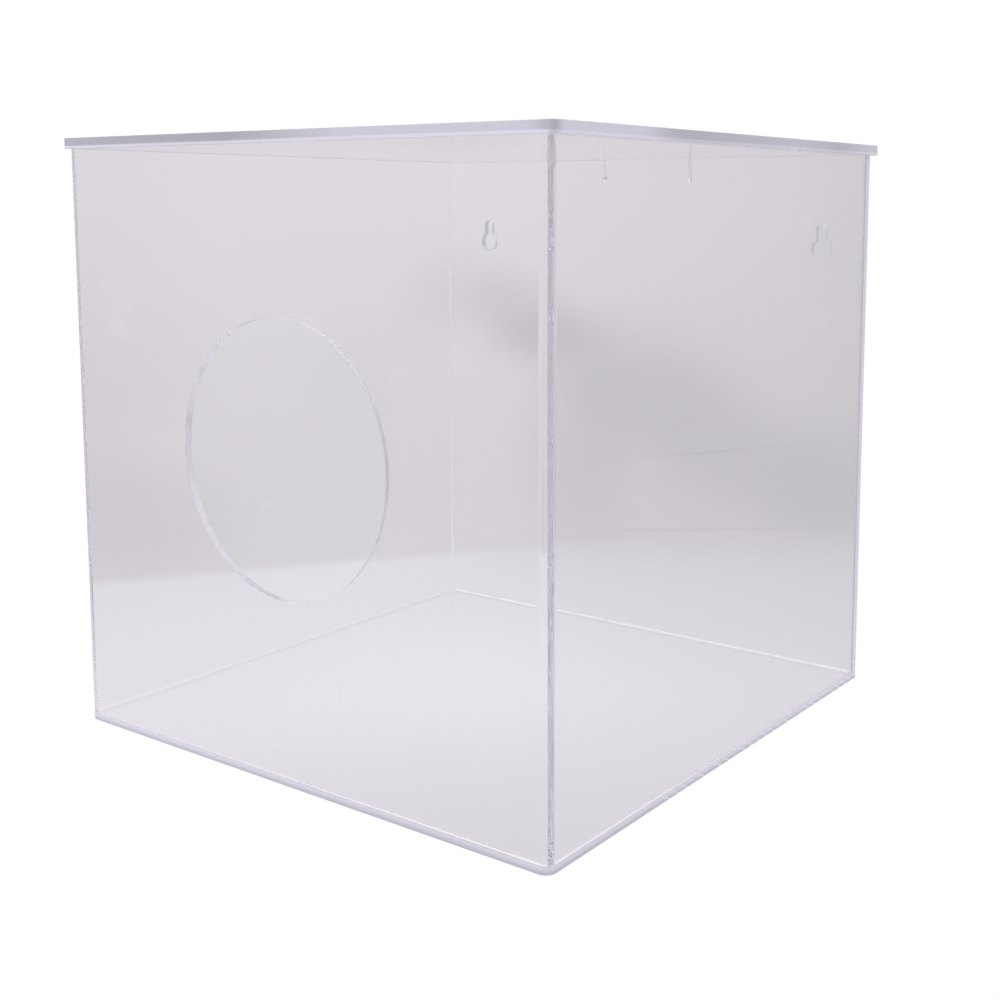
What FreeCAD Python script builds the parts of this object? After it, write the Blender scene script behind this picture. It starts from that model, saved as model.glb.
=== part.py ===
import FreeCAD, Part
import math
import os
import Sketcher

# Clear acrylic wall box: a bent front-and-sides sheet, a back panel with two
# keyholes, a floor panel and a loose lid. Millimetres, +Z up. The front faces -Y
# and the back, which hangs on the wall, faces +Y. The origin is the middle of the
# underside of the floor panel.

SIZES = {
    "box_width": 254.0,
    "box_depth": 249.24,
    "wall_top": 250.2,
    "sheet_thick": 3.2,
    "bend_radius": 4.5,
    "port_diameter": 110.0,
    "port_height": 130.0,
    "port_left": 1.0,
    "keyhole_spacing": 199.0,
    "keyholes_right": 3.0,
    "keyhole_height": 206.3,
    "entry_diameter": 9.8,
    "slot_width": 5.0,
    "slot_rise": 9.4,
    "lid_thick": 4.5,
    "lid_side": 3.0,
    "lid_front": 0.4,
    "lid_back": 3.8,
    "lid_corner": 3.0,
}

UP = FreeCAD.Vector(0, 0, 1)

doc = FreeCAD.newDocument("WallBox")


def make_sizes():
    """Put every driving size in a spreadsheet, named by its alias."""
    sizes = doc.addObject("Spreadsheet::Sheet", "Sizes")
    for row, (name, value) in enumerate(SIZES.items(), start=1):
        sizes.set(f"A{row}", name)
        sizes.set(f"B{row}", str(value))
        sizes.setAlias(f"B{row}", name)
    doc.recompute()


def new_body(name):
    body = doc.addObject("PartDesign::Body", name)
    body.Label = name
    body.Placement = FreeCAD.Placement()
    return body


def origin_item(body, role):
    """Find one of the body's own origin planes or axes."""
    return next(item for item in body.Origin.OriginFeatures if item.Role == role)


def new_sketch(body, role, name, height="0"):
    """Start a sketch on one of the body's origin planes, raised off it by height."""
    sketch = body.newObject("Sketcher::SketchObject", name)
    sketch.AttachmentSupport = [(origin_item(body, role), "")]
    sketch.MapMode = "FlatFace"
    sketch.setExpression("AttachmentOffset.Base.z", height)
    return sketch


def constrain(sketch, kind, *ends):
    sketch.addConstraint(Sketcher.Constraint(kind, *ends))


def bind(sketch, kind, ends, start, expression):
    """Add a constraint with a starting size, then bind the size to the spreadsheet."""
    index = sketch.addConstraint(Sketcher.Constraint(kind, *ends, start))
    sketch.setExpression(f"Constraints[{index}]", expression)


def draw_rectangle(sketch, width, front, back):
    """Draw a rectangle centred across, running from front (-Y) to back (+Y)."""
    corners = [FreeCAD.Vector(x, y, 0) for x, y in ((-99, -99), (99, -99), (99, 99), (-99, 99))]
    for index in range(4):
        sketch.addGeometry(Part.LineSegment(corners[index], corners[(index + 1) % 4]))
    for index in range(4):
        constrain(sketch, "Coincident", index, 2, (index + 1) % 4, 1)
    constrain(sketch, "Symmetric", 0, 1, 0, 2, -2)
    constrain(sketch, "Vertical", 1)
    constrain(sketch, "Horizontal", 2)
    constrain(sketch, "Vertical", 3)
    bind(sketch, "DistanceX", (0, 1, 0, 2), 198, width)
    bind(sketch, "DistanceY", (0, 1, -1, 1), 99, front)
    bind(sketch, "DistanceY", (-1, 1, 2, 1), 99, back)


def pad(body, sketch, thickness):
    """Raise a sketch into a solid."""
    feature = body.newObject("PartDesign::Pad", f"{sketch.Name}Pad")
    feature.Profile = sketch
    feature.setExpression("Length", thickness)
    sketch.Visibility = False
    doc.recompute()
    return feature


def cut_sheet(body, sketch):
    """Cut a sketch through one sheet, towards the back (+Y)."""
    feature = body.newObject("PartDesign::Pocket", f"{sketch.Name}Cut")
    feature.Profile = sketch
    feature.setExpression("Length", "Sizes.sheet_thick")
    sketch.Visibility = False
    doc.recompute()
    return feature


def upright_edges(shape, front_only):
    """Name the straight vertical edges, either all of them or the front ones."""
    names = []
    for index, edge in enumerate(shape.Edges, start=1):
        upright = abs(edge.tangentAt(edge.FirstParameter).z) > 0.99
        if upright and (edge.CenterOfMass.y < 0 or not front_only):
            names.append(f"Edge{index}")
    return names


def round_uprights(body, feature, radius, front_only):
    fillet = body.newObject("PartDesign::Fillet", f"{feature.Name}Rounds")
    fillet.Base = (feature, upright_edges(feature.Shape, front_only))
    fillet.setExpression("Radius", radius)
    doc.recompute()
    return fillet


def open_faces(shape):
    """Name the top, the underside and the back of the wrap's block."""
    names = []
    for index, face in enumerate(shape.Faces, start=1):
        facing = face.normalAt(0, 0)
        if abs(facing.z) > 0.99 or facing.y > 0.99:
            names.append(f"Face{index}")
    return names


def make_wall_wrap():
    """Bend one sheet round the front corners and cut the round port in it."""
    body = new_body("wall_wrap")
    outline = new_sketch(body, "XY_Plane", "WrapOutline", "Sizes.sheet_thick")
    draw_rectangle(outline, "Sizes.box_width", "Sizes.box_depth / 2",
                   "Sizes.box_depth / 2 - Sizes.sheet_thick")
    block = pad(body, outline, "Sizes.wall_top - Sizes.sheet_thick")
    bent = round_uprights(body, block, "Sizes.bend_radius", True)
    sheet = body.newObject("PartDesign::Thickness", "WrapSheet")
    sheet.Base = (bent, open_faces(bent.Shape))
    sheet.Reversed = True
    sheet.setExpression("Value", "Sizes.sheet_thick")
    doc.recompute()
    port = new_sketch(body, "XZ_Plane", "Port", "Sizes.box_depth / 2")
    port.addGeometry(Part.Circle(FreeCAD.Vector(-1, 130, 0), UP, 55))
    bind(port, "DistanceX", (0, 3, -1, 1), 1, "Sizes.port_left")
    bind(port, "DistanceY", (-1, 1, 0, 3), 130, "Sizes.port_height")
    bind(port, "Diameter", (0,), 110, "Sizes.port_diameter")
    cut_sheet(body, port)


def draw_entry(sketch):
    """Draw the left keyhole's round entry, where the screw head goes in."""
    sketch.addGeometry(Part.Circle(FreeCAD.Vector(-97, 206, 0), UP, 5))
    bind(sketch, "DistanceX", (0, 3, -1, 1), 97, "Sizes.keyhole_spacing / 2 - Sizes.keyholes_right")
    bind(sketch, "DistanceY", (-1, 1, 0, 3), 206, "Sizes.keyhole_height")
    bind(sketch, "Diameter", (0,), 10, "Sizes.entry_diameter")


def draw_slot(sketch):
    """Draw the left keyhole's slot, which rises from the entry and ends round."""
    foot = FreeCAD.Vector(-97, 206, 0)
    top = FreeCAD.Vector(-97, 216, 0)
    half = FreeCAD.Vector(2.5, 0, 0)
    sketch.addGeometry(Part.LineSegment(foot + half, top + half))
    sketch.addGeometry(Part.ArcOfCircle(Part.Circle(top, UP, 2.5), 0, math.pi))
    sketch.addGeometry(Part.LineSegment(top - half, foot - half))
    sketch.addGeometry(Part.ArcOfCircle(Part.Circle(foot, UP, 2.5), math.pi, 2 * math.pi))
    constrain(sketch, "Tangent", 0, 2, 1, 1)
    constrain(sketch, "Tangent", 1, 2, 2, 1)
    constrain(sketch, "Tangent", 2, 2, 3, 1)
    constrain(sketch, "Tangent", 3, 2, 0, 1)
    constrain(sketch, "Vertical", 0)
    bind(sketch, "DistanceX", (3, 3, -1, 1), 97, "Sizes.keyhole_spacing / 2 - Sizes.keyholes_right")
    bind(sketch, "DistanceY", (-1, 1, 3, 3), 206, "Sizes.keyhole_height")
    bind(sketch, "DistanceY", (3, 3, 1, 3), 10, "Sizes.slot_rise")
    bind(sketch, "Radius", (1,), 2.5, "Sizes.slot_width / 2")


def make_back_panel():
    """Flat panel behind the side walls, with a keyhole on each side."""
    body = new_body("back_panel")
    outline = new_sketch(body, "XY_Plane", "BackOutline", "Sizes.sheet_thick")
    draw_rectangle(outline, "Sizes.box_width", "Sizes.sheet_thick - Sizes.box_depth / 2",
                   "Sizes.box_depth / 2")
    pad(body, outline, "Sizes.wall_top - Sizes.sheet_thick")
    cuts = []
    for name, draw in (("KeyholeEntry", draw_entry), ("KeyholeSlot", draw_slot)):
        sketch = new_sketch(body, "XZ_Plane", name, "Sizes.sheet_thick - Sizes.box_depth / 2")
        draw(sketch)
        cuts.append(cut_sheet(body, sketch))
    row = body.newObject("PartDesign::LinearPattern", "KeyholeRow")
    row.Originals = cuts
    row.Direction = (origin_item(body, "X_Axis"), [""])
    row.setExpression("Length", "Sizes.keyhole_spacing")
    row.Occurrences = 2
    body.Tip = row
    doc.recompute()


def make_floor_panel():
    """Flat panel under the walls, trimmed flush with the bends."""
    body = new_body("floor_panel")
    outline = new_sketch(body, "XY_Plane", "FloorOutline")
    draw_rectangle(outline, "Sizes.box_width", "Sizes.box_depth / 2", "Sizes.box_depth / 2")
    plate = pad(body, outline, "Sizes.sheet_thick")
    round_uprights(body, plate, "Sizes.bend_radius", True)


def make_lid():
    """Flat plate on the walls, overhanging both sides and the back."""
    body = new_body("lid")
    outline = new_sketch(body, "XY_Plane", "LidOutline", "Sizes.wall_top")
    draw_rectangle(outline, "Sizes.box_width + 2 * Sizes.lid_side",
                   "Sizes.box_depth / 2 + Sizes.lid_front", "Sizes.box_depth / 2 + Sizes.lid_back")
    plate = pad(body, outline, "Sizes.lid_thick")
    round_uprights(body, plate, "Sizes.lid_corner", False)


def check_and_export():
    """Stop on any feature with an error, then write each body to its own file."""
    doc.recompute()
    for item in doc.Objects:
        if "Invalid" in item.State or "Error" in item.State:
            raise RuntimeError(f"{item.Name} did not compute")
    os.makedirs("parts", exist_ok=True)
    for body in doc.findObjects("PartDesign::Body"):
        if body.Shape.isNull() or not body.Shape.isValid() or len(body.Shape.Solids) != 1:
            raise RuntimeError(f"{body.Label} is not one good solid")
        body.Shape.exportStep(f"parts/{body.Label}.step")
        print(body.Label, round(body.Shape.Volume), body.Shape.BoundBox)


make_sizes()
make_wall_wrap()
make_back_panel()
make_floor_panel()
make_lid()
check_and_export()
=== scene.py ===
import math

import bmesh
import bpy
from mathutils import Matrix, Vector


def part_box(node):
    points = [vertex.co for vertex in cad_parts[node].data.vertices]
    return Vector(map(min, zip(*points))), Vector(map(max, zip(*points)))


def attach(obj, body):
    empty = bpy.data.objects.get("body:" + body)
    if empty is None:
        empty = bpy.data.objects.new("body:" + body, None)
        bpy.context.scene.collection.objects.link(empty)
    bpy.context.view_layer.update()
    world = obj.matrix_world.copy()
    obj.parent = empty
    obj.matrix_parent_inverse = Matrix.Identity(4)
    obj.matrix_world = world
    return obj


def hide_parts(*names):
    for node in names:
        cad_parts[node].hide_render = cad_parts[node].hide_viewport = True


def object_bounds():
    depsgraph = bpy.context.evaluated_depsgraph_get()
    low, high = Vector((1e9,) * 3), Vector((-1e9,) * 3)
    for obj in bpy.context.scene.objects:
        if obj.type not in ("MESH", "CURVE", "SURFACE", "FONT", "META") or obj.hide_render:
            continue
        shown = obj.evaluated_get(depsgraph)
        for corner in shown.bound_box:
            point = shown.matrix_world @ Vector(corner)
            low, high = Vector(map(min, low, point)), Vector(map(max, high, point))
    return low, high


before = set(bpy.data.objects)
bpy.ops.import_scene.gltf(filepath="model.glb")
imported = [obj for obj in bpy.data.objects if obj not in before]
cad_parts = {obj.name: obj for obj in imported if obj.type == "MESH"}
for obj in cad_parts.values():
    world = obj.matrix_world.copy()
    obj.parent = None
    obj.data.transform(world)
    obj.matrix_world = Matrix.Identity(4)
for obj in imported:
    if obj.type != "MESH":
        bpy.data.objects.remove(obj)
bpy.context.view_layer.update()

MM = 0.001
GAP = 0.04 * MM          # air left in each joint, so that no two faces lie in one plane
BEND = 4.5 * MM          # outside radius of the two heat bends
INNER_BEND = 0.4 * MM    # inside radius, nearly a crease
PORT_RADIUS = 55 * MM
PORT_X, PORT_Z = -1 * MM, 130 * MM
KEYHOLE_X = (-96.5 * MM, 102.5 * MM)
KEYHOLE_Z = 206.3 * MM
ENTRY_RADIUS = 4.9 * MM
SLOT_RADIUS = 2.5 * MM
SLOT_RISE = 9.4 * MM
LID_CORNER = 3 * MM
EDGE_BREAK = 0.18 * MM   # rounding left by polishing an edge
WELD_REACH = 0.003 * MM  # mesh points nearer than this are one
CUTTER_REACH = 10 * MM   # how far a drill goes past a face

BEAD_BACK = 0.65 * MM    # legs of the cement fillets in the inside corners
BEAD_SIDE = 0.25 * MM
BEAD_STEP = 2.5 * MM     # between two cross sections of a fillet
BEND_RUN = math.radians(-30)   # where on the bend a run of cement set

EDGE, RIM = 1, 2         # material slots of every panel, after that of its polished faces
ACRYLIC_IOR = 1.49
ACRYLIC_TINT = (0.990, 0.984, 0.9925, 1)
ABSORPTION = (0.5, 0.44, 0.62, 1)
ABSORPTION_DENSITY = 0.3   # per metre, so it shows only along a sheet, not across it
EDGE_TINT = (0.96, 0.97, 1.06)
RIM_TINT = (0.96, 0.97, 1.02)
CEMENT_TINT = (0.99, 0.94, 1.0)
SHADE_TINT = (0.95, 0.95, 0.96, 1)   # what a lamp's light keeps in passing a face

# How much of the light is lost on each kind of dirt and wear.
SMUDGE_FILM, HAIRLINE_FILM, DUST_FILM, MARK_FILM = 0.005, 0.04, 0.2, 0.35
SMUDGE_ROUGHNESS = 0.003
DUST_CELLS, DUST_SHARE = 110, 0.06   # cells per metre, and how many of them hold a speck
NICK_LIGHT = 0.35                    # how much lighter a nick of the saw is
LIGHTEST_EDGE = 0.94

# Tone of the sawn edges. Along the lid its darker and lighter stretches are painted reflections;
# there the places are x + y in metres, which runs round the rim from the front left corner by the
# front right one to the back right one. On the other panels they are heights.
LID_TONE_AND_REFLECTIONS = ((-0.26, 0.60), (-0.20, 0.55), (-0.15, 0.53), (-0.115, 0.68), (-0.09, 0.79), (-0.006, 0.79),
             (0.0, 0.65), (0.005, 0.55), (0.01, 0.84), (0.057, 0.84), (0.08, 0.61), (0.127, 0.65),
             (0.177, 0.73), (0.215, 0.63), (0.25, 0.79))
FLOOR_UP = ((0.0, 0.65), (0.0007, 0.65), (0.0012, 0.72), (0.0018, 0.81), (0.0024, 0.87),
            (0.0034, 0.88))

# Marks of wear on the panels: two ends and the width, in millimetres.
MARKS = (
    ((-74.3, -81.3, 3.2), (-76.4, -59.1, 3.2), 0.5),
    ((-45.3, -109.4, 3.2), (-30.4, -101.3, 3.2), 0.6),
    ((-26, -124.6, 237), (-26.3, -124.6, 208), 0.4),
    ((-26.2, -124.6, 209), (-26.5, -124.6, 206), 0.9),
    ((83.7, -124.6, 221.6), (83.7, -124.6, 220.8), 0.8),
    ((127, 19.1, 72.6), (127, 19.3, 72.2), 0.7),
)

TABLE_TONE = (0.788, 0.765, 0.818)
TABLE_NORMAL = (-0.826, 0.564, 0)     # level, square to the table's far edge
TABLE_EDGE = 0.268                    # how far off the origin that edge runs
# Where the table darkens: direction, start and end of the change, how much is lost.
TABLE_FALLS = (((0.45, 0.89, 0), -0.02, 0.36, 0.18), ((-1, 0, 0), 0.16, 0.32, 0.05),
               ((0.7, -0.7, 0), -0.01, 0.18, 0.16))
TABLE_BRIGHT = (-0.03, 0.01, 0)       # middle of a soft pool of light
TABLE_HEIGHT = -0.3 * MM              # a hair under the floor panel
ROOM_TINT = (1.0, 0.968, 1.012)
AHEAD = (-0.5804, 0.8143, 0)          # towards the room's far wall, and along it
ALONG_WALL = (0.8143, 0.5804, 0)
# Soft shadows on the far wall, as if it stood one metre off: middle along and up, slope in degrees,
# half length, half width and depth.
SHADOWS = (
    (-0.040, -0.078, -20, 0.052, 0.042, 0.090),
    (-0.088, -0.066, 25, 0.060, 0.045, 0.060),
    (0.065, -0.145, -30, 0.200, 0.060, 0.058),
    (0.200, -0.205, 0, 0.150, 0.070, 0.065),
    (0.050, -0.165, 0, 0.105, 0.130, 0.055),
    (-0.150, -0.125, 10, 0.060, 0.060, 0.020),
    (0.100, -0.2385, 1, 0.125, 0.0018, 0.055),
    (0.096, -0.181, 5, 0.110, 0.0018, 0.040),
    (0.000, -0.175, 90, 0.130, 0.060, 0.055),
    (-0.022, -0.098, 8, 0.070, 0.030, 0.060),
    (0.204, 0.000, 90, 0.160, 0.060, 0.030),
    (-0.370, -0.020, 90, 0.250, 0.120, 0.030),
    (-0.360, -0.130, 90, 0.120, 0.120, 0.030),
    (-0.335, -0.236, 0, 0.120, 0.075, 0.080),
)
BOUNCES = 96                          # light runs the length of a sheet between its faces
SEE_THROUGH_BOUNCES = 32


# ---------------------------------------------------------------- shapes

def new_object(name, mesh):
    obj = bpy.data.objects.new(name, mesh)
    bpy.context.scene.collection.objects.link(obj)
    return obj


def mesh_object(name, bm):
    """Object from a finished mesh under construction."""
    bmesh.ops.recalc_face_normals(bm, faces=bm.faces)
    mesh = bpy.data.meshes.new(name)
    bm.to_mesh(mesh)
    bm.free()
    return new_object(name, mesh)


def arc(centre, radius, start, end, steps):
    """Points on an arc in a plane, angles in degrees."""
    points = []
    for step in range(steps + 1):
        angle = math.radians(start + (end - start) * step / steps)
        points.append((centre[0] + radius * math.cos(angle), centre[1] + radius * math.sin(angle)))
    return points


def prism(name, outline, low, high):
    """Closed solid with this outline from above, between two heights."""
    bm = bmesh.new()
    face = bm.faces.new([bm.verts.new((x, y, low)) for x, y in outline])
    top = bmesh.ops.extrude_face_region(bm, geom=[face])["geom"]
    lifted = [item for item in top if isinstance(item, bmesh.types.BMVert)]
    bmesh.ops.translate(bm, vec=(0, 0, high - low), verts=lifted)
    return mesh_object(name, bm)


def lying_prism(name, outline, front, back):
    """The same with the outline seen from the front, between two depths."""
    obj = prism(name, outline, -back, -front)
    obj.data.transform(Matrix.Rotation(math.radians(90), 4, "X"))
    return obj


def bake_modifiers(obj):
    """Replace the mesh by its modified self."""
    depsgraph = bpy.context.evaluated_depsgraph_get()
    mesh = bpy.data.meshes.new_from_object(obj.evaluated_get(depsgraph))
    obj.modifiers.clear()
    obj.data = mesh


def drill(obj, cutter):
    """Cut one solid out of another."""
    cut = obj.modifiers.new("cut", "BOOLEAN")
    cut.operation = "DIFFERENCE"
    cut.solver = "EXACT"
    cut.object = cutter
    bake_modifiers(obj)
    bpy.data.objects.remove(cutter)


def break_edges(obj):
    """Round the sharp edges a little and shade the curves smooth, with the flats left truly flat."""
    bevel = obj.modifiers.new("polish", "BEVEL")
    bevel.width = EDGE_BREAK
    bevel.segments = 2
    bevel.limit_method = "ANGLE"
    bevel.angle_limit = math.radians(40)
    weld = obj.modifiers.new("weld", "WELD")
    weld.merge_threshold = WELD_REACH
    flats = obj.modifiers.new("flats", "WEIGHTED_NORMAL")
    flats.mode = "FACE_AREA"
    flats.weight = 100
    for face in obj.data.polygons:
        face.use_smooth = True
    bake_modifiers(obj)


def rounded_rectangle(low, high, radii):
    """Outline of a rectangle whose corners are given from the front left, anticlockwise."""
    corners = ((low.x, low.y, 180), (high.x, low.y, 270), (high.x, high.y, 0), (low.x, high.y, 90))
    outline = []
    for (x, y, start), radius in zip(corners, radii):
        centre = (x + radius * (1 if x == low.x else -1), y + radius * (1 if y == low.y else -1))
        outline += arc(centre, radius, start, start + 90, 10) if radius else [(x, y)]
    return outline


def inset(low, high, amount):
    """The same box a little shorter at its foot and its top."""
    step = Vector((0, 0, amount))
    return low + step, high - step


def is_upright(face):
    return abs(face.normal.z) < 0.5


def mark_faces(obj, is_edge, is_rim=lambda face: False):
    """Give the sawn edges and the machined rims their own material slots."""
    for face in obj.data.polygons:
        if is_rim(face):
            face.material_index = RIM
        elif is_edge(face):
            face.material_index = EDGE


def make_walls():
    """The front and both sides in one bent sheet, with the round opening."""
    low, high = inset(*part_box("wall_wrap"), GAP)
    back_low, back_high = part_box("back_panel")
    sheet = back_high.y - back_low.y
    rear = high.y - GAP
    left, right, front = low.x, high.x, low.y
    centres = ((left + BEND, front + BEND), (right - BEND, front + BEND))
    outline = [(left, rear)]
    outline += arc(centres[0], BEND, 180, 270, 14)
    outline += arc(centres[1], BEND, 270, 360, 14)
    outline += [(right, rear), (right - sheet, rear)]
    crease = sheet + INNER_BEND
    outline += arc((right - crease, front + crease), INNER_BEND, 360, 270, 8)
    outline += arc((left + crease, front + crease), INNER_BEND, 270, 180, 8)
    outline += [(left + sheet, rear)]
    walls = prism("walls", outline, low.z, high.z)
    port = arc((PORT_X, PORT_Z), PORT_RADIUS, 0, 360, 180)[:-1]
    drill(walls, lying_prism("port_cutter", port, front - CUTTER_REACH, front + CUTTER_REACH))
    break_edges(walls)

    def in_port(face):
        x, y, z = face.center
        inside = math.hypot(x - PORT_X, z - PORT_Z) < PORT_RADIUS + EDGE_BREAK / 2
        return inside and y < front + sheet and abs(face.normal.y) < 0.9

    def at_right_end(face):
        return face.normal.y > 0.5 and face.center.y > rear - EDGE_BREAK and face.center.x > 0

    mark_faces(walls, at_right_end, in_port)
    return walls


def make_back():
    """Flat panel with the two keyholes."""
    low, high = inset(*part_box("back_panel"), GAP)
    back = prism("back", rounded_rectangle(low, high, (0, 0, 0, 0)), low.z, high.z)
    for x in KEYHOLE_X:
        entry = arc((x, KEYHOLE_Z), ENTRY_RADIUS, 0, 360, 48)[:-1]
        top = KEYHOLE_Z + SLOT_RISE
        slot = [(x - SLOT_RADIUS, KEYHOLE_Z), (x + SLOT_RADIUS, KEYHOLE_Z)]
        slot += arc((x, top), SLOT_RADIUS, 0, 180, 24)
        for shape in (entry, slot):
            drill(back, lying_prism("keyhole_cutter", shape, low.y - CUTTER_REACH, high.y + CUTTER_REACH))
    break_edges(back)

    def in_keyhole(face):
        beside = min(abs(face.center.x - x) for x in KEYHOLE_X) < ENTRY_RADIUS + EDGE_BREAK
        level = KEYHOLE_Z - 2 * ENTRY_RADIUS < face.center.z < KEYHOLE_Z + 3 * ENTRY_RADIUS
        return beside and level and abs(face.normal.y) < 0.9

    mark_faces(back, lambda face: abs(face.normal.x) > 0.5, in_keyhole)
    return back


def make_floor():
    """Flat panel under the walls, rounded below the two bends."""
    low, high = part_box("floor_panel")
    floor = prism("floor", rounded_rectangle(low, high, (BEND, BEND, 0, 0)), low.z, high.z - GAP)
    break_edges(floor)
    mark_faces(floor, is_upright)
    return floor


def make_lid():
    """Flat plate that rests on the walls."""
    low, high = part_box("lid")
    outline = rounded_rectangle(low, high, (LID_CORNER,) * 4)
    lid = prism("lid_plate", outline, low.z + GAP, high.z)
    break_edges(lid)
    mark_faces(lid, is_upright)
    return lid


def make_bead(name, start, end, first, second, leg):
    """Fillet of dried cement in an inside corner: a hollow-faced triangle, a little uneven along the way."""
    start, end, first, second = Vector(start), Vector(end), Vector(first), Vector(second)
    steps = int((end - start).length / BEAD_STEP)
    profile = [(0, 0)] + [(1 - math.sin(math.radians(angle)), 1 - math.cos(math.radians(angle)))
                          for angle in range(0, 91, 15)]
    bm = bmesh.new()
    rings = []
    for step in range(steps + 1):
        place = start.lerp(end, step / steps)
        size = leg * (1 + 0.12 * math.sin(step * 0.9) + 0.08 * math.sin(step * 0.37 + 1))
        rings.append([bm.verts.new(place + size * (a * first + b * second)) for a, b in profile])
    for here, there in zip(rings, rings[1:]):
        for index in range(len(profile)):
            after = (index + 1) % len(profile)
            bm.faces.new((here[index], here[after], there[after], there[index]))
    bm.faces.new(rings[0])
    bm.faces.new(rings[-1])
    return mesh_object(name, bm)


def make_beads():
    """The cement along the back and the two sides."""
    back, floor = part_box("back_panel"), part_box("floor_panel")
    sheet = floor[1].z - floor[0].z
    left, right = back[0].x + sheet + GAP, back[1].x - sheet - GAP
    front, rear = floor[0].y + sheet + BEND, back[0].y - GAP
    low = floor[1].z + GAP
    up, forwards = (0, 0, 1), (0, -1, 0)
    apart = BEAD_BACK * 1.5
    back_ends = (left + apart, rear, low), (right - apart, rear, low)
    left_ends = (left, front, low), (left, rear - apart, low)
    right_ends = (right, front, low), (right, rear - apart, low)
    return [
        make_bead("cement_back", *back_ends, forwards, up, BEAD_BACK),
        make_bead("cement_left", *left_ends, (1, 0, 0), up, BEAD_SIDE),
        make_bead("cement_right", *right_ends, (-1, 0, 0), up, BEAD_SIDE),
    ]


def make_run(name, place, outwards, width, length, depth):
    """Cement that ran down a wall from the lid and set: a flat-backed tear, heavier at its lower end."""
    bm = bmesh.new()
    bmesh.ops.create_uvsphere(bm, u_segments=24, v_segments=24, radius=1)
    behind = [vert for vert in bm.verts if vert.co.y > 0.001]
    bmesh.ops.delete(bm, geom=behind, context="VERTS")
    rim = [edge for edge in bm.edges if edge.is_boundary]
    bmesh.ops.holes_fill(bm, edges=rim)
    for vert in bm.verts:
        taper = 1 - 0.35 * vert.co.z
        vert.co = Vector((vert.co.x * width / 2 * taper, vert.co.y * depth * taper, vert.co.z * length / 2))
    run = mesh_object(name, bm)
    for face in run.data.polygons:
        face.use_smooth = len(face.vertices) < 5
    turn = math.atan2(outwards[0], -outwards[1])
    run.data.transform(Matrix.Translation(place) @ Matrix.Rotation(turn, 4, "Z"))
    return run


def make_runs():
    """The runs of cement below the lid: one on the front right bend and two on the right side.

    The first of the two is a thread that ends in a drop.
    """
    low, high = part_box("wall_wrap")
    side = high.x + GAP
    facing = (math.cos(BEND_RUN), math.sin(BEND_RUN))
    bend = (high.x - BEND + (BEND + GAP) * facing[0], low.y + BEND + (BEND + GAP) * facing[1])
    return [
        make_run("run_bend", (*bend, high.z - 5.7 * MM), facing, 3.2 * MM, 11 * MM, 0.35 * MM),
        make_run("run_thread", (side, -93.2 * MM, high.z - 8 * MM), (1, 0), 0.7 * MM, 9 * MM, 0.25 * MM),
        make_run("run_drop", (side, -93.2 * MM, high.z - 13.6 * MM), (1, 0), 2.6 * MM, 2.4 * MM, 0.7 * MM),
        make_run("run_lens", (side, -37 * MM, high.z - 7.6 * MM), (1, 0), 3 * MM, 14.5 * MM, 0.35 * MM),
    ]


# ---------------------------------------------------------------- materials

def new_material(name):
    material = bpy.data.materials.new(name)
    material.use_nodes = True
    tree = material.node_tree
    tree.nodes.clear()
    return material, tree


def add(tree, kind, **settings):
    node = tree.nodes.new(kind)
    for key, value in settings.items():
        setattr(node, key, value)
    return node


def calculate(tree, operation, first, second=0.0):
    """Math node whose inputs are sockets or plain numbers."""
    node = add(tree, "ShaderNodeMath", operation=operation)
    for socket, value in zip(node.inputs, (first, second)):
        if isinstance(value, (int, float)):
            socket.default_value = value
        else:
            tree.links.new(value, socket)
    return node.outputs[0]


def combine(tree, operation, first, second=(0, 0, 0)):
    """The same for vectors, given as sockets or plain triples."""
    node = add(tree, "ShaderNodeVectorMath", operation=operation)
    for socket, value in zip(node.inputs, (first, second)):
        if isinstance(value, (tuple, Vector)):
            socket.default_value = value
        else:
            tree.links.new(value, socket)
    return node.outputs["Value"] if operation in ("DOT_PRODUCT", "LENGTH") else node.outputs["Vector"]


def ease(tree, value, low, high, first=0.0, last=1.0):
    """Smooth step from first to last while value goes from low to high."""
    node = add(tree, "ShaderNodeMapRange", interpolation_type="SMOOTHSTEP")
    tree.links.new(value, node.inputs["Value"])
    for name, number in zip(("From Min", "From Max", "To Min", "To Max"), (low, high, first, last)):
        node.inputs[name].default_value = number
    return node.outputs["Result"]


def curve(tree, value, stops):
    """Straight lines through the stops, each a place and a tone."""
    low, high = stops[0][0], stops[-1][0]
    node = add(tree, "ShaderNodeFloatCurve")
    within = calculate(tree, "MINIMUM", calculate(tree, "MAXIMUM", value, low), high)
    tree.links.new(calculate(tree, "DIVIDE", calculate(tree, "SUBTRACT", within, low), high - low),
                   node.inputs["Value"])
    line = node.mapping.curves[0]
    node.mapping.use_clip = False
    for place, tone in stops[1:-1]:
        line.points.new((place - low) / (high - low), tone)
    line.points[0].location = (0, stops[0][1])
    line.points[-1].location = (1, stops[-1][1])
    for point in line.points:
        point.handle_type = "VECTOR"
    node.mapping.update()
    return node.outputs[0]


def scaled(tree, triple, amount):
    """A plain triple, such as a tint, times a socket."""
    node = add(tree, "ShaderNodeVectorMath", operation="SCALE")
    node.inputs[0].default_value = triple
    tree.links.new(amount, node.inputs["Scale"])
    return node.outputs["Vector"]


def grain(tree, place, stretch, detail=2.0):
    """Noise between about 0.2 and 0.8, with so many cells per metre along each axis."""
    noise = add(tree, "ShaderNodeTexNoise")
    tree.links.new(combine(tree, "MULTIPLY", place, stretch), noise.inputs["Vector"])
    noise.inputs["Scale"].default_value = 1
    noise.inputs["Detail"].default_value = detail
    return noise.outputs["Fac"]


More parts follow.
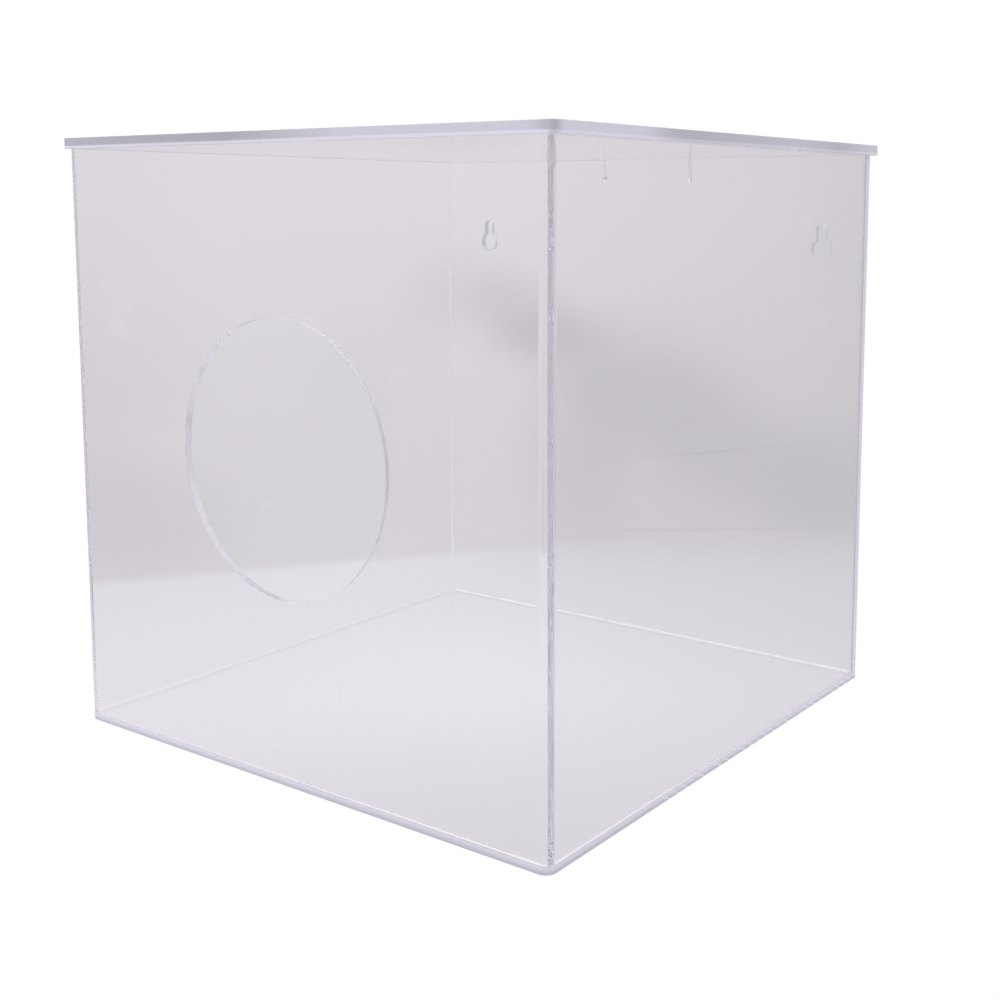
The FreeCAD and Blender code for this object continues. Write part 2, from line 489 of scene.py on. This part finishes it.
def worn_line(tree, place, start, end, width):
    """One along a straight mark, zero away from it."""
    start, end = Vector(start) * MM, Vector(end) * MM
    along = end - start
    offset = combine(tree, "SUBTRACT", place, start)
    share = calculate(tree, "DIVIDE", combine(tree, "DOT_PRODUCT", offset, along), along.length_squared)
    share = calculate(tree, "MAXIMUM", calculate(tree, "MINIMUM", share, 1.0), 0.0)
    away = combine(tree, "LENGTH", combine(tree, "SUBTRACT", offset, scaled(tree, along, share)))
    return ease(tree, away, width * MM * 0.2, width * MM * 0.6, 1.0, 0.0)


def dust(tree, place, cells, share):
    """Sparse round specks: a share of the cells holds one."""
    cell = add(tree, "ShaderNodeTexVoronoi")
    tree.links.new(place, cell.inputs["Vector"])
    cell.inputs["Scale"].default_value = cells
    chance = combine(tree, "DOT_PRODUCT", cell.outputs["Color"], (1, 0, 0))
    chosen = calculate(tree, "LESS_THAN", chance, share)
    return calculate(tree, "MULTIPLY", chosen, ease(tree, cell.outputs["Distance"], 0.03, 0.07, 1.0, 0.0))


def principled(tree, roughness):
    """Acrylic's shader. Lamps pass through it, so it throws no dark shadow."""
    out = add(tree, "ShaderNodeOutputMaterial")
    glass = add(tree, "ShaderNodeBsdfPrincipled")
    glass.inputs["IOR"].default_value = ACRYLIC_IOR
    glass.inputs["Roughness"].default_value = roughness
    open_air = add(tree, "ShaderNodeBsdfTransparent")
    open_air.inputs["Color"].default_value = SHADE_TINT
    path = add(tree, "ShaderNodeLightPath")
    mix = add(tree, "ShaderNodeMixShader")
    tree.links.new(path.outputs["Is Shadow Ray"], mix.inputs["Fac"])
    tree.links.new(glass.outputs["BSDF"], mix.inputs[1])
    tree.links.new(open_air.outputs["BSDF"], mix.inputs[2])
    tree.links.new(mix.outputs["Shader"], out.inputs["Surface"])
    body = add(tree, "ShaderNodeVolumeAbsorption")
    body.inputs["Color"].default_value = ABSORPTION
    body.inputs["Density"].default_value = ABSORPTION_DENSITY
    tree.links.new(body.outputs["Volume"], out.inputs["Volume"])
    return glass


def bump(tree, glass, height, distance, strength):
    node = add(tree, "ShaderNodeBump")
    node.inputs["Strength"].default_value = strength
    node.inputs["Distance"].default_value = distance
    tree.links.new(height, node.inputs["Height"])
    tree.links.new(node.outputs["Normal"], glass.inputs["Normal"])


def clear_acrylic():
    """Polished faces: smudges, a thin film of dust, specks, hairlines and the marks of wear."""
    material, tree = new_material("clear_acrylic")
    glass = principled(tree, 0.0)
    place = add(tree, "ShaderNodeTexCoord").outputs["Object"]
    glass.inputs["Base Color"].default_value = ACRYLIC_TINT
    smudges = ease(tree, grain(tree, place, (13, 13, 9), 4.0), 0.45, 0.8)
    hairlines = ease(tree, grain(tree, place, (900, 35, 60), 1.0), 0.72, 0.78)
    specks = dust(tree, place, DUST_CELLS, DUST_SHARE)
    film = calculate(tree, "MULTIPLY", smudges, SMUDGE_FILM)
    for dirt, loss in ((hairlines, HAIRLINE_FILM), (specks, DUST_FILM)):
        film = calculate(tree, "ADD", film, calculate(tree, "MULTIPLY", dirt, loss))
    for start, end, width in MARKS:
        mark = calculate(tree, "MULTIPLY", worn_line(tree, place, start, end, width), MARK_FILM)
        film = calculate(tree, "MAXIMUM", film, mark)
    tree.links.new(calculate(tree, "SUBTRACT", 1.0, film), glass.inputs["Transmission Weight"])
    tree.links.new(calculate(tree, "MULTIPLY", smudges, SMUDGE_ROUGHNESS), glass.inputs["Roughness"])
    return material


def lid_tone_and_painted_light(tree, place):
    """Tone of the lid's edge, with painted reflections as darker and lighter stretches along it, and painted
    light making it lighter low down, strongest on the front.
    """
    around = combine(tree, "DOT_PRODUCT", place, (1, 1, 0))
    height = combine(tree, "DOT_PRODUCT", place, (0, 0, 1))
    # Painted light: a lighter band in the lowest millimetre of the edge, where light comes up from the walls
    # below; full on the front and left, 0.4 of it on the right and back.
    low = calculate(tree, "MULTIPLY", ease(tree, height, 0.2509, 0.2518, 0.38, 0.0),
                    ease(tree, around, 0.0, 0.004, 1.0, 0.4))
    return calculate(tree, "ADD", curve(tree, around, LID_TONE_AND_REFLECTIONS), low)


def floor_tone(tree, place):
    """Tone of the other sawn edges: darker at the foot of the floor, nicked by the saw towards the back."""
    slanted = combine(tree, "DOT_PRODUCT", place, (0, 150, 330))
    nick = ease(tree, calculate(tree, "FRACT", slanted), 0.1, 0.25, 1.0, 0.0)
    stretch = ease(tree, combine(tree, "DOT_PRODUCT", place, (0, 1, 0)), -0.055, -0.045)
    uneven = ease(tree, grain(tree, place, (0, 90, 0)), 0.42, 0.48)
    nick = calculate(tree, "MULTIPLY", calculate(tree, "MULTIPLY", nick, stretch), uneven)
    height = combine(tree, "DOT_PRODUCT", place, (0, 0, 1))
    nick = calculate(tree, "MULTIPLY", nick, NICK_LIGHT)
    return calculate(tree, "ADD", curve(tree, height, FLOOR_UP), nick)


def sawn_edge(name, make_tone):
    """Edge left by the saw and only flamed over: mostly frosted, with fine upright marks."""
    material, tree = new_material(name)
    glass = principled(tree, 0.35)
    glass.inputs["Transmission Weight"].default_value = 0.0
    place = add(tree, "ShaderNodeTexCoord").outputs["Object"]
    marks = grain(tree, place, (900, 900, 45))
    # On the lid this tone holds painted reflections and a painted band of light low down.
    tone = calculate(tree, "MULTIPLY", make_tone(tree, place), ease(tree, marks, 0.3, 0.7, 0.985, 1.015))
    tone = calculate(tree, "MINIMUM", tone, LIGHTEST_EDGE)
    tree.links.new(scaled(tree, EDGE_TINT, tone), glass.inputs["Base Color"])
    tree.links.new(ease(tree, marks, 0.3, 0.7, 0.33, 0.42), glass.inputs["Roughness"])
    return material


def set_cement():
    """A thick run of cement, clouded by the bubbles in it."""
    material, tree = new_material("set_cement")
    glass = principled(tree, 0.25)
    glass.inputs["Transmission Weight"].default_value = 0.15
    place = add(tree, "ShaderNodeTexCoord").outputs["Object"]
    cloud = ease(tree, grain(tree, place, (500, 500, 260)), 0.3, 0.7, 0.75, 0.87)
    tree.links.new(scaled(tree, CEMENT_TINT, cloud), glass.inputs["Base Color"])
    return material


def machined_rim():
    """Wall of a milled hole, with fine turning marks running round it."""
    material, tree = new_material("machined_rim")
    glass = principled(tree, 0.2)
    glass.inputs["Transmission Weight"].default_value = 0.4
    place = add(tree, "ShaderNodeTexCoord").outputs["Object"]
    marks = grain(tree, place, (250, 2200, 250))
    tone = ease(tree, marks, 0.3, 0.7, 0.86, 0.98)
    tree.links.new(scaled(tree, RIM_TINT, tone), glass.inputs["Base Color"])
    tree.links.new(ease(tree, marks, 0.3, 0.7, 0.12, 0.25), glass.inputs["Roughness"])
    bump(tree, glass, marks, 0.02 * MM, 0.4)
    return material


# ---------------------------------------------------------------- stage

def seen_directly(tree, through_acrylic, direct):
    """Shader that differs between what the camera sees directly and the rest."""
    path = add(tree, "ShaderNodeLightPath")
    mix = add(tree, "ShaderNodeMixShader")
    tree.links.new(path.outputs["Is Camera Ray"], mix.inputs["Fac"])
    tree.links.new(through_acrylic, mix.inputs[1])
    tree.links.new(direct, mix.inputs[2])
    return mix.outputs["Shader"]


def table_tone(tree, place):
    """Light on the table: a soft pool under the box, falling off around it."""
    pool = combine(tree, "LENGTH", combine(tree, "SUBTRACT", place, TABLE_BRIGHT))
    tone = ease(tree, pool, 0.0, 0.15, 1.075, 1.0)
    for direction, start, end, loss in TABLE_FALLS:
        lost = ease(tree, combine(tree, "DOT_PRODUCT", place, direction), start, end, 0.0, loss)
        tone = calculate(tree, "SUBTRACT", tone, lost)
    return tone


def past_table(tree, place):
    """One beyond the table's far edge, which blurs to the right, and far away all round."""
    out_there = combine(tree, "DOT_PRODUCT", place, TABLE_NORMAL)
    sharp = ease(tree, out_there, TABLE_EDGE - 0.014, TABLE_EDGE + 0.014)
    soft = ease(tree, out_there, TABLE_EDGE - 0.16, TABLE_EDGE + 0.01)
    to_right = ease(tree, combine(tree, "DOT_PRODUCT", place, (0, 1, 0)), 0.15, 0.35)
    blur = calculate(tree, "MULTIPLY", to_right, calculate(tree, "SUBTRACT", soft, sharp))
    far_away = ease(tree, combine(tree, "LENGTH", place), 0.6, 1.8)
    return calculate(tree, "MAXIMUM", calculate(tree, "ADD", sharp, blur), far_away)


def make_table():
    """White table whose far edge, soft with distance, shows only through the acrylic."""
    mesh = bpy.data.meshes.new("table")
    mesh.from_pydata([(-9, -9, 0), (9, -9, 0), (9, 9, 0), (-9, 9, 0)], [], [(0, 1, 2, 3)])
    table = new_object("table", mesh)
    table.location.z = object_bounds()[0].z + TABLE_HEIGHT
    material, tree = new_material("table_top")
    place = add(tree, "ShaderNodeNewGeometry").outputs["Position"]
    top = add(tree, "ShaderNodeEmission")
    tree.links.new(scaled(tree, TABLE_TONE, table_tone(tree, place)), top.inputs["Color"])
    white = add(tree, "ShaderNodeEmission")
    cut = add(tree, "ShaderNodeMixShader")
    tree.links.new(past_table(tree, place), cut.inputs["Fac"])
    tree.links.new(top.outputs[0], cut.inputs[1])
    tree.links.new(add(tree, "ShaderNodeBsdfTransparent").outputs[0], cut.inputs[2])
    out = add(tree, "ShaderNodeOutputMaterial")
    tree.links.new(seen_directly(tree, cut.outputs[0], white.outputs[0]), out.inputs["Surface"])
    mesh.materials.append(material)


def room_tone(tree, direction):
    """Light in the room: the ceiling lamp above, darker low down and to the right, soft shadows ahead."""
    height = combine(tree, "DOT_PRODUCT", direction, (0, 0, 1))
    tone = calculate(tree, "ADD", ease(tree, height, -0.26, 0.05, 0.678, 0.752),
                     ease(tree, height, 0.15, 0.8, 0.0, 0.45))
    to_right = combine(tree, "DOT_PRODUCT", direction, (0.88, 0.47, 0))
    tone = calculate(tree, "SUBTRACT", tone, ease(tree, to_right, -0.25, 0.15, 0, 0.1))
    ahead = combine(tree, "DOT_PRODUCT", direction, AHEAD)
    on_wall = add(tree, "ShaderNodeCombineXYZ")
    for socket, axis in zip(on_wall.inputs, (ALONG_WALL, (0, 0, 1))):
        aside = combine(tree, "DOT_PRODUCT", direction, axis)
        tree.links.new(calculate(tree, "DIVIDE", aside, ahead), socket)
    in_front = ease(tree, ahead, 0.2, 0.4)
    for along, up, slope, half_length, half_width, depth in SHADOWS:
        patch = add(tree, "ShaderNodeMapping", vector_type="TEXTURE")
        tree.links.new(on_wall.outputs[0], patch.inputs["Vector"])
        patch.inputs["Location"].default_value = (along, up, 0)
        patch.inputs["Rotation"].default_value = (0, 0, math.radians(slope))
        patch.inputs["Scale"].default_value = (half_length, half_width, 1)
        shade = ease(tree, combine(tree, "LENGTH", patch.outputs[0]), 0.1, 1.0, depth, 0.0)
        tone = calculate(tree, "SUBTRACT", tone, calculate(tree, "MULTIPLY", shade, in_front))
    return tone


def make_room():
    """White backdrop. Through the acrylic it is a pale grey room under a soft ceiling light."""
    world = bpy.data.worlds.new("studio")
    world.use_nodes = True
    bpy.context.scene.world = world
    tree = world.node_tree
    tree.nodes.clear()
    white = add(tree, "ShaderNodeBackground")
    white.inputs["Color"].default_value = (1, 1, 1, 1)
    direction = add(tree, "ShaderNodeTexCoord").outputs["Generated"]
    room = add(tree, "ShaderNodeBackground")
    tree.links.new(scaled(tree, ROOM_TINT, room_tone(tree, direction)), room.inputs["Color"])
    out = add(tree, "ShaderNodeOutputWorld")
    tree.links.new(seen_directly(tree, room.outputs[0], white.outputs[0]), out.inputs["Surface"])


def make_camera():
    """Camera at the photograph's place, solved from the box's own edges."""
    yaw, pitch, roll = 0.61922, 0.12496, 0.00277
    focal, centre_x, centre_y, frame_side = 1391.88, 575.78, 376.53, 1000
    forward = Vector((-math.sin(yaw) * math.cos(pitch), math.cos(yaw) * math.cos(pitch), -math.sin(pitch)))
    level = forward.cross(Vector((0, 0, 1))).normalized()
    upright = level.cross(forward)
    right = math.cos(roll) * level + math.sin(roll) * upright
    up = -math.sin(roll) * level + math.cos(roll) * upright
    data = bpy.data.cameras.new("camera")
    data.sensor_width = 36
    data.lens = focal * data.sensor_width / frame_side
    data.shift_x = 0.5 - centre_x / frame_side
    data.shift_y = centre_y / frame_side - 0.5
    data.clip_start = 0.01
    data.clip_end = 100
    camera = new_object("camera", data)
    place = Vector((0.394643, -0.485058, 0.228613))
    camera.matrix_world = Matrix.Translation(place) @ Matrix((right, up, -forward)).transposed().to_4x4()
    bpy.context.scene.camera = camera


# ---------------------------------------------------------------- build

clear = clear_acrylic()
rim = machined_rim()
cement = set_cement()
# The lid's edge tone carries painted reflections and painted light.
lid_edge = sawn_edge("lid_edge", lid_tone_and_painted_light)
floor_edge = sawn_edge("floor_edge", floor_tone)

PANELS = (
    (make_walls(), "wall_wrap", "wall_sheet", "box", floor_edge),
    (make_back(), "back_panel", "back_sheet", "box", floor_edge),
    (make_floor(), "floor_panel", "floor_sheet", "box", floor_edge),
    (make_lid(), "lid", "lid_sheet", "lid", lid_edge),
)
for panel, node, slot, body, edge in PANELS:
    for material in (clear, edge, rim):
        panel.data.materials.append(material)
    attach(panel, body)
    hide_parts(node)
for bead in make_beads() + make_runs():
    bead.data.materials.append(cement if bead.name == "run_bend" else clear)
    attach(bead, "box")

make_table()
make_room()
make_camera()

scene = bpy.context.scene
scene.view_settings.view_transform = "Standard"
scene.cycles.max_bounces = BOUNCES
scene.cycles.transmission_bounces = BOUNCES
scene.cycles.glossy_bounces = BOUNCES
scene.cycles.transparent_max_bounces = SEE_THROUGH_BOUNCES
